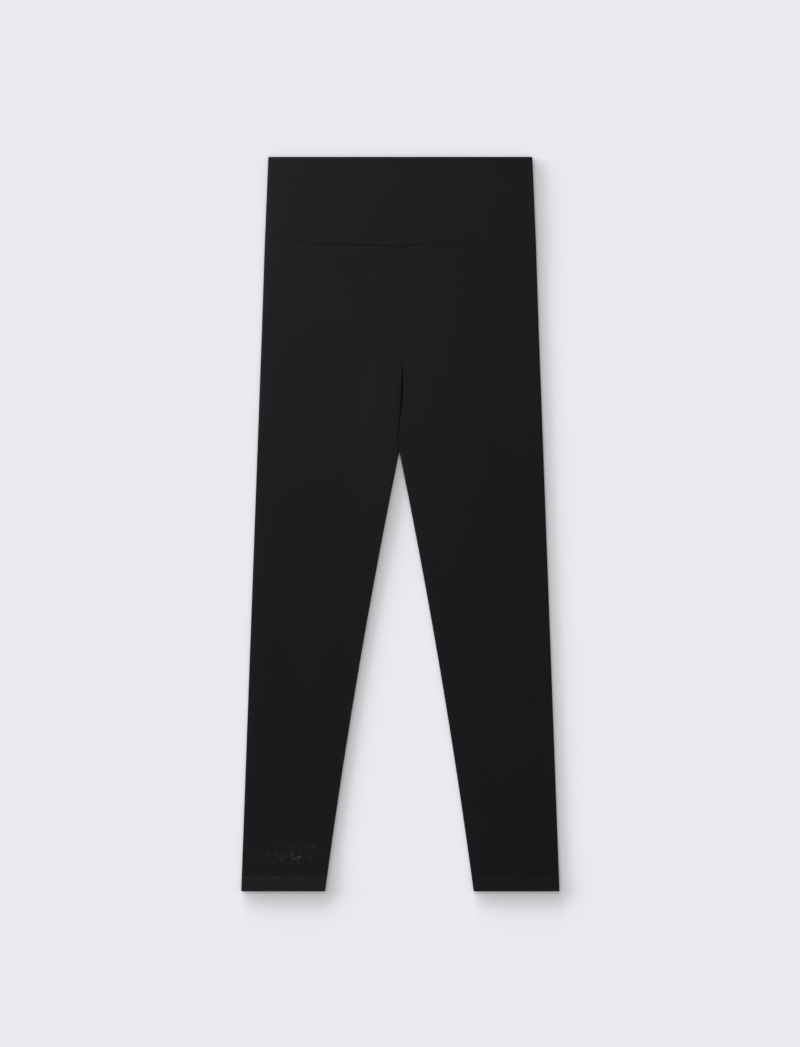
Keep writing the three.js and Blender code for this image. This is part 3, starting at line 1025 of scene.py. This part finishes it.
def knit_cloth(name, cloth, colour, hem_at=None, hem_lightness=1.0, linty=False):
    """Black jersey: knit relief and faint mottling, painted highlight from the mesh, painted shade and
    highlight from the knit's relief, and where asked for a pressed hem and a little lint.
    """
    finish = Finish(name)
    flat = finish.value("ShaderNodeUVMap", {"uv_map": "cloth"})
    place = finish.value("ShaderNodeTexCoord", None, None, "Object")
    split = finish.node("ShaderNodeSeparateXYZ", None, {0: flat})
    u, v = Value(finish, split.outputs[0]), Value(finish, split.outputs[1])
    height = knit_height(finish, u, v, cloth.wale, cloth.course)
    broad = finish.noise(place, MOTTLE_SCALE, 3) - 0.5
    fibre = finish.noise(finish.vector("MULTIPLY", flat, FIBRE_STRETCH), FIBRE_SCALE)
    # the mesh's attribute holds painted highlight along the folds and in patches, which lightens the colour
    shade = finish.value("ShaderNodeAttribute", {"attribute_name": "painted_highlight"}, None, "Fac")
    # the knit's relief adds painted shade in its hollows and painted highlight on its ribs
    shade = shade + broad * MOTTLE_SHADE + (fibre - 0.5) * FIBRE_SHADE + (height - KNIT_MEAN) * KNIT_PAINTED_SHADE
    rough = cloth.roughness + broad * MOTTLE_ROUGHNESS
    if hem_at is not None:
        # the hem band is drawn lighter by the given factor, and a little smoother
        pressed = finish.ramp(v, hem_at + PRESSED_FROM[0], hem_at + PRESSED_FROM[1], 0, 1)
        shade = shade * (pressed * (hem_lightness - 1) + 1)
        rough = rough + pressed * PRESSED_ROUGHNESS
    base = finish.tint(colour, shade)
    if linty:
        lint = lint_mask(finish, flat, place)
        base = finish.mix(lint, base, (*cloth.lint_colour, 1))
    relief = {"Strength": KNIT_BUMP, "Distance": cloth.relief, "Height": height + fibre * FIBRE_RELIEF}
    bump = finish.value("ShaderNodeBump", None, relief)
    finish.surface(Base_Color=base, Roughness=rough, Normal=bump, Specular_IOR_Level=cloth.gloss)
    finish.surface(Sheen_Weight=cloth.sheen, Sheen_Roughness=SHEEN_ROUGHNESS)
    return finish.material


def thread(name, cloth):
    """Spun polyester thread, a shade lighter than the cloth."""
    finish = Finish(name)
    place = finish.value("ShaderNodeTexCoord", None, None, "Object")
    twist = finish.noise(place, TWIST_SCALE, 1)
    shade = 1 + (twist - 0.5) * TWIST_SHADE
    rough = TWIST_ROUGHNESS[0] + twist * TWIST_ROUGHNESS[1]
    base = finish.tint(cloth.thread_colour, shade)
    finish.surface(Base_Color=base, Roughness=rough, Specular_IOR_Level=THREAD_GLOSS)
    return finish.material


def paper(name, colour):
    """Matt studio paper."""
    finish = Finish(name)
    place = finish.value("ShaderNodeTexCoord", None, None, "Object")
    grain = finish.noise(place, GRAIN_SCALE)
    base = finish.tint(colour, 1 + (grain - 0.5) * GRAIN_SHADE)
    finish.surface(Base_Color=base, Roughness=PAPER_ROUGHNESS, Specular_IOR_Level=0.0)
    return finish.material


LENGTH = {"unit": "LENGTH"}
FINE_LENGTH = {"unit": "LENGTH", "precision": 5}
FACTOR = {"subtype": "FACTOR", "max": 1}
ANGLE = {"subtype": "ANGLE"}


def number_property(name, description, default, low, **kind):
    """A number that a user can change, with its lowest value."""
    return FloatProperty(name=name, description=description, default=default, min=low, **kind)


def colour_property(name, description, default):
    """A colour that a user can change."""
    return FloatVectorProperty(
        name=name, description=description, default=default, min=0, max=1, subtype="COLOR"
    )


class LeggingsSizes(bpy.types.PropertyGroup):
    length: number_property(
        "Length", "From the waist edge to the hems", BAND_BOX[1].y - LEFT_BOX[0].y, 0.5, **LENGTH
    )
    waist_width: number_property("Waist width", "Along the waist edge, laid flat", 0.331, 0.2, **LENGTH)
    hems_span: number_property(
        "Span of the hems",
        "From one outer hem corner to the other",
        LEFT_BOX[1].x - RIGHT_BOX[0].x,
        0.2,
        **LENGTH,
    )
    hem_width: number_property("Hem width", "One leg along its hem, laid flat", 0.1065, 0.05, **LENGTH)
    hem_depth: number_property("Hem depth", "How far the hem is turned up", 0.017, 0.005, **LENGTH)
    fork_down: number_property(
        "Fork below the waist", "Where the two legs part, below the waist edge", 0.369, 0.2, **LENGTH
    )
    fork_slope: number_property(
        "Fork slope", "How fast an inner edge leaves the middle at the fork", 0.204, 0.0, max=0.5
    )
    ply: number_property("Ply", "Thickness of one layer of the jersey", 0.00082, 0.0003, **LENGTH)


class LeggingsCloth(bpy.types.PropertyGroup):
    leg_colour: colour_property("Leg colour", "Colour of the legs' jersey", (0.0059, 0.0067, 0.0077))
    band_colour: colour_property(
        "Waistband colour", "Colour of the waistband's jersey", (0.006, 0.0068, 0.0077)
    )
    thread_colour: colour_property(
        "Thread colour", "Colour of the hem stitches", (0.0078, 0.0086, 0.0098)
    )
    lint_colour: colour_property(
        "Lint colour", "Colour of the stray fibres near the hem", (0.16, 0.16, 0.165)
    )
    wale: number_property("Wale", "Width of one upright rib of the knit", 0.00075, 0.0002, **FINE_LENGTH)
    course: number_property("Course", "Height of one loop of the knit", 0.00055, 0.0002, **FINE_LENGTH)
    relief: number_property("Relief", "Depth of the knit's ribs", 0.00012, 0, **FINE_LENGTH)
    roughness: number_property("Roughness", "How dull the jersey is", 0.72, 0, **FACTOR)
    gloss: number_property("Gloss", "Strength of the jersey's reflections", 0.07, 0, **FACTOR)
    sheen: number_property("Sheen", "Soft light on the nap at shallow angles", 0.015, 0, **FACTOR)
    right_hem: number_property(
        "Right hem", "How much lighter the pressed hem of the wearer's right leg is", 1.43, 0.5, max=2
    )
    left_hem: number_property(
        "Left hem", "How much lighter the pressed hem of the wearer's left leg is", 1.1, 0.5, max=2
    )


class LeggingsStudio(bpy.types.PropertyGroup):
    floor_colour: colour_property(
        "Floor colour", "Colour of the paper under the garment", (0.697, 0.7075, 0.718)
    )
    sky: number_property("Even light", "Strength of the light from all round", 0.71, 0)
    lamp: number_property("Low lamps", "Strength of each of the low lamps that cast the shadow", 2.79, 0)
    lamp_height: number_property(
        "Lamp height",
        "Angle of the low lamps above the floor",
        math.radians(8),
        0,
        max=math.pi / 2,
        **ANGLE,
    )
    lamp_bearing: number_property(
        "Lamp bearing",
        "Middle of the row of low lamps, turned from the picture's left towards the waist",
        math.radians(45),
        -math.pi,
        **ANGLE,
    )
    lamp_spread: number_property(
        "Lamp spread",
        "How far the row of low lamps reaches to each side of its middle",
        math.radians(35),
        0,
        **ANGLE,
    )
    lamp_width: number_property(
        "Lamp width",
        "How wide each low lamp looks from the garment, which softens the shadow",
        math.radians(12),
        0,
        **ANGLE,
    )
    softbox: number_property(
        "Softbox", "Power of the softbox over the waist, which is kept off the floor", 11.5, 0, unit="POWER"
    )
    camera_height: number_property("Camera height", "Straight above the garment", 3.0, 0.5, **LENGTH)
    picture_height: number_property(
        "Picture height", "Length that the picture shows from top to bottom", 1.3129, 0.1, **LENGTH
    )


def finished(piece, slot, *nodes):
    """A piece rides on the one body and stands for its solids, which are hidden. The slot is not used."""
    if nodes:
        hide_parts(*nodes)
    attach(piece, "root")


class LEGGINGS_OT_waistband(bpy.types.Operator):
    """Makes the front and the back of the waistband in doubled cloth"""

    bl_idname = "leggings.waistband"
    bl_label = "Waistband"

    def execute(self, context):
        pattern = Pattern(context.scene.leggings_sizes)
        cloth = context.scene.leggings_cloth
        finish = knit_cloth("band_jersey", cloth, cloth.band_colour)
        for face, side in ((1, "front"), (-1, "back")):
            piece = band_sheet(pattern, face, "band_" + side)
            piece.data.materials.append(finish)
            finished(piece, "band_jersey", "waistband_" + side)
        return {"FINISHED"}


class LEGGINGS_OT_legs(bpy.types.Operator):
    """Makes the two legs, each a wrapped panel with its hem turned up"""

    bl_idname = "leggings.legs"
    bl_label = "Legs"

    def execute(self, context):
        pattern = Pattern(context.scene.leggings_sizes)
        cloth = context.scene.leggings_cloth
        hem_at = (pattern.length - pattern.hem_depth - HEM_SHOWS) * MM
        for side, name, node, lightness, linty in (
            (-1, "right_leg", "leg_right", cloth.right_hem, True),
            (1, "left_leg", "leg_left", cloth.left_hem, False),
        ):
            piece = leg_sheet(pattern, side, name)
            finish = knit_cloth(name + "_jersey", cloth, cloth.leg_colour, hem_at, lightness, linty)
            piece.data.materials.append(finish)
            finished(piece, "jersey", node)
        return {"FINISHED"}


class LEGGINGS_OT_hem_stitches(bpy.types.Operator):
    """Sews the twin rows of stitches round both hems"""

    bl_idname = "leggings.hem_stitches"
    bl_label = "Hem stitches"

    def execute(self, context):
        pattern = Pattern(context.scene.leggings_sizes)
        finish = thread("thread", context.scene.leggings_cloth)
        for side, name in ((-1, "right"), (1, "left")):
            piece = stitch_rows(pattern, side, name + "_hem_stitches")
            piece.data.materials.append(finish)
            finished(piece, "jersey")
        return {"FINISHED"}


class LEGGINGS_OT_studio(bpy.types.Operator):
    """Lays the paper floor, and sets the lights and the camera above"""

    bl_idname = "leggings.studio"
    bl_label = "Studio"

    def execute(self, context):
        scene = context.scene
        studio = scene.leggings_studio
        bm = bmesh.new()
        bmesh.ops.create_grid(bm, x_segments=1, y_segments=1, size=FLOOR_HALF)
        bmesh.ops.translate(bm, verts=bm.verts, vec=(0, 0, -FLOOR_DROP))
        floor = piece_of(bm, "studio_floor")
        floor.data.materials.append(paper("paper", studio.floor_colour))

        world = bpy.data.worlds.new("even_light")
        world.use_nodes = True
        background = world.node_tree.nodes["Background"]
        background.inputs["Color"].default_value = SKY_COLOUR
        background.inputs["Strength"].default_value = studio.sky
        scene.world = world

        floor_only = bpy.data.collections.new("lit_by_low_lamps")
        floor_only.objects.link(floor)
        lamp = bpy.data.lights.new("low_lamp", "SUN")
        lamp.energy = studio.lamp
        lamp.angle = studio.lamp_width
        lamp.color = LAMP_COLOUR
        flat = math.cos(studio.lamp_height)
        for place in LAMP_ROW:
            bearing = studio.lamp_bearing + place * studio.lamp_spread
            low = placed("low_lamp", lamp)
            ahead = Vector(
                (math.cos(bearing) * flat, -math.sin(bearing) * flat, -math.sin(studio.lamp_height))
            )
            low.rotation_euler = ahead.to_track_quat("-Z", "Y").to_euler()
            low.light_linking.receiver_collection = floor_only

        box = bpy.data.lights.new("softbox", "AREA")
        box.shape = "DISK"
        box.size = SOFTBOX_SIZE
        box.energy = studio.softbox
        above = placed("softbox", box)
        above.location = SOFTBOX_PLACE
        above.rotation_euler = (-above.location).to_track_quat("-Z", "Y").to_euler()
        cloth_only = bpy.data.collections.new("lit_by_softbox")
        for piece in scene.objects:
            if piece.type == "MESH" and piece != floor:
                cloth_only.objects.link(piece)
        above.light_linking.receiver_collection = cloth_only

        camera = bpy.data.cameras.new("camera")
        camera.lens = camera.sensor_width * studio.camera_height / studio.picture_height
        viewer = placed("camera", camera)
        viewer.location = (*CAMERA_PLACE, studio.camera_height)
        scene.camera = viewer
        scene.view_settings.view_transform = "Standard"
        return {"FINISHED"}


class LEGGINGS_PT_pieces(bpy.types.Panel):
    """Lists the steps that build the leggings, with their sizes and colours"""

    bl_idname = "LEGGINGS_PT_pieces"
    bl_label = "Leggings"
    bl_space_type = "VIEW_3D"
    bl_region_type = "UI"
    bl_category = "Leggings"

    def draw(self, context):
        layout = self.layout
        for group in ("leggings_sizes", "leggings_cloth", "leggings_studio"):
            values = getattr(context.scene, group)
            box = layout.box()
            for name in values.bl_rna.properties.keys():
                if name not in {"rna_type", "name"}:
                    box.prop(values, name)
        for operator in OPERATORS:
            layout.operator(operator.bl_idname)


GROUPS = {
    "leggings_sizes": LeggingsSizes,
    "leggings_cloth": LeggingsCloth,
    "leggings_studio": LeggingsStudio,
}
OPERATORS = (
    LEGGINGS_OT_waistband,
    LEGGINGS_OT_legs,
    LEGGINGS_OT_hem_stitches,
    LEGGINGS_OT_studio,
)


def register():
    for group in GROUPS.values():
        bpy.utils.register_class(group)
    for made in (*OPERATORS, LEGGINGS_PT_pieces):
        bpy.utils.register_class(made)
    for name, group in GROUPS.items():
        setattr(bpy.types.Scene, name, PointerProperty(type=group))


def unregister():
    for name in GROUPS:
        delattr(bpy.types.Scene, name)
    for made in (LEGGINGS_PT_pieces, *reversed(OPERATORS), *reversed(GROUPS.values())):
        bpy.utils.unregister_class(made)


def main():
    register()
    bpy.ops.leggings.waistband()
    bpy.ops.leggings.legs()
    bpy.ops.leggings.hem_stitches()
    bpy.ops.leggings.studio()


if __name__ == "__main__":
    main()
